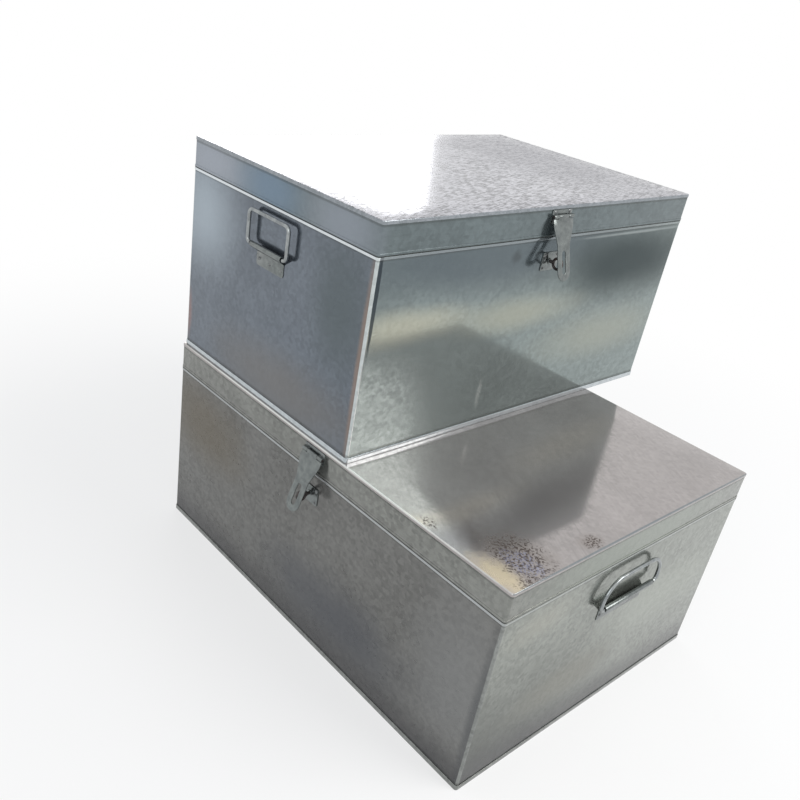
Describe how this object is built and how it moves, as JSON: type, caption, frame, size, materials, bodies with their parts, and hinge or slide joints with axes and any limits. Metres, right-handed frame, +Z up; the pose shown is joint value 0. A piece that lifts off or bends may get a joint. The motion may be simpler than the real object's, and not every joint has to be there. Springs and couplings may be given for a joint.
{
  "type": "stacked metal storage trunks",
  "caption": "Galvanised sheet-metal storage trunks stacked crosswise, each with a hinged lid, a hasp over a turning padlock eye, and swinging end handles.",
  "frame": {"origin": "centre of the lower trunk's base, on the floor", "axes": "+Z up; -Y out of the lower trunk's hasp side; +X out of its right end and of the upper trunk's hasp side"},
  "size_m": [0.9314, 0.9015, 0.82],
  "materials": {
    "wall_sheet": "galvanised sheet, half mirror, streaked",
    "lid_sheet": "galvanised sheet, half mirror, stained and streaked",
    "zinc_fittings": "bright zinc-plated steel",
    "rivet_zinc": "zinc-plated round-head rivets",
    "dark_iron": "dark rusty iron"
  },
  "bodies": {
    "lower_carcass": {"lower_base_pan": "wall_sheet", "lower_front_panel": "wall_sheet", "lower_back_panel": "wall_sheet", "lower_left_panel": "wall_sheet", "lower_right_panel": "wall_sheet", "lower_corner_seams": "wall_sheet", "lower_neck_band": "wall_sheet", "lower_hinge_body_leaves": "zinc_fittings", "lower_hinge_pins": "dark_iron", "lower_body_rivets": "rivet_zinc", "lower_eye_plate": "zinc_fittings", "lower_left_handle_plate": "zinc_fittings", "lower_right_handle_plate": "zinc_fittings"},
    "lower_lid": {"lower_lid_skirt": "wall_sheet", "lower_lid_top": "lid_sheet", "lower_hinge_lid_leaves": "zinc_fittings", "lower_hasp_leaf": "zinc_fittings", "lower_hasp_pin": "dark_iron", "lower_lid_rivets": "rivet_zinc"},
    "lower_hasp": {"lower_hasp_strap": "zinc_fittings"},
    "lower_eye": {"lower_turn_eye": "dark_iron"},
    "lower_left_bail": {"lower_left_handle": "zinc_fittings"},
    "lower_right_bail": {"lower_right_handle": "zinc_fittings"},
    "upper_carcass": {"upper_base_pan": "wall_sheet", "upper_front_panel": "wall_sheet", "upper_back_panel": "wall_sheet", "upper_left_panel": "wall_sheet", "upper_right_panel": "wall_sheet", "upper_corner_seams": "wall_sheet", "upper_neck_band": "wall_sheet", "upper_hinge_body_leaves": "zinc_fittings", "upper_hinge_pins": "dark_iron", "upper_body_rivets": "rivet_zinc", "upper_eye_plate": "zinc_fittings", "upper_left_handle_plate": "zinc_fittings", "upper_right_handle_plate": "zinc_fittings"},
    "upper_lid": {"upper_lid_skirt": "wall_sheet", "upper_lid_top": "lid_sheet", "upper_hinge_lid_leaves": "zinc_fittings", "upper_hasp_leaf": "zinc_fittings", "upper_hasp_pin": "dark_iron", "upper_lid_rivets": "rivet_zinc"},
    "upper_hasp": {"upper_hasp_strap": "zinc_fittings"},
    "upper_eye": {"upper_turn_eye": "dark_iron"},
    "upper_left_bail": {"upper_left_handle": "zinc_fittings"},
    "upper_right_bail": {"upper_right_handle": "zinc_fittings"}
  },
  "joints": [
    {"name": "lower_lid_hinge", "type": "hinge", "parent": "lower_carcass", "child": "lower_lid", "pos_m": [0, 0.3425, 0.35525], "axis": [-1, 0, 0], "range_deg": [0, 95]},
    {"name": "upper_trunk_lift", "type": "slide", "parent": "lower_lid", "child": "upper_carcass", "axis": [0, 0, 1], "range_m": [0, 0.15]},
    {"name": "upper_lid_hinge", "type": "hinge", "parent": "upper_carcass", "child": "upper_lid", "pos_m": [-0.451, 0.0865, 0.76525], "axis": [0, -1, 0], "range_deg": [0, 95]},
    {"name": "lower_hasp_swing", "type": "hinge", "parent": "lower_lid", "child": "lower_hasp", "pos_m": [0, -0.343, 0.392], "axis": [-1, 0, 0], "range_deg": [-18.4, 150]},
    {"name": "upper_hasp_swing", "type": "hinge", "parent": "upper_lid", "child": "upper_hasp", "pos_m": [0.0795, 0.0865, 0.802], "axis": [0, -1, 0], "range_deg": [-18.4, 150]},
    {"name": "lower_eye_turn", "type": "hinge", "parent": "lower_carcass", "child": "lower_eye", "pos_m": [0, -0.3563, 0.31], "axis": [0, -1, 0], "range_deg": [0, 90]},
    {"name": "upper_eye_turn", "type": "hinge", "parent": "upper_carcass", "child": "upper_eye", "pos_m": [0.0928, 0.0865, 0.72], "axis": [1, 0, 0], "range_deg": [0, 90]},
    {"name": "lower_right_handle_swing", "type": "hinge", "parent": "lower_carcass", "child": "lower_right_bail", "pos_m": [0.461, 0, 0.27], "axis": [0, 1, 0], "range_deg": [-5, 180]},
    {"name": "lower_left_handle_swing", "type": "hinge", "parent": "lower_carcass", "child": "lower_left_bail", "pos_m": [-0.461, 0, 0.27], "axis": [0, -1, 0], "range_deg": [-5, 180]},
    {"name": "upper_left_handle_swing", "type": "hinge", "parent": "upper_carcass", "child": "upper_left_bail", "pos_m": [-0.186, -0.3445, 0.69], "axis": [1, 0, 0], "range_deg": [-5, 180]},
    {"name": "upper_right_handle_swing", "type": "hinge", "parent": "upper_carcass", "child": "upper_right_bail", "pos_m": [-0.186, 0.5175, 0.69], "axis": [-1, 0, 0], "range_deg": [-5, 180]}
  ]
}
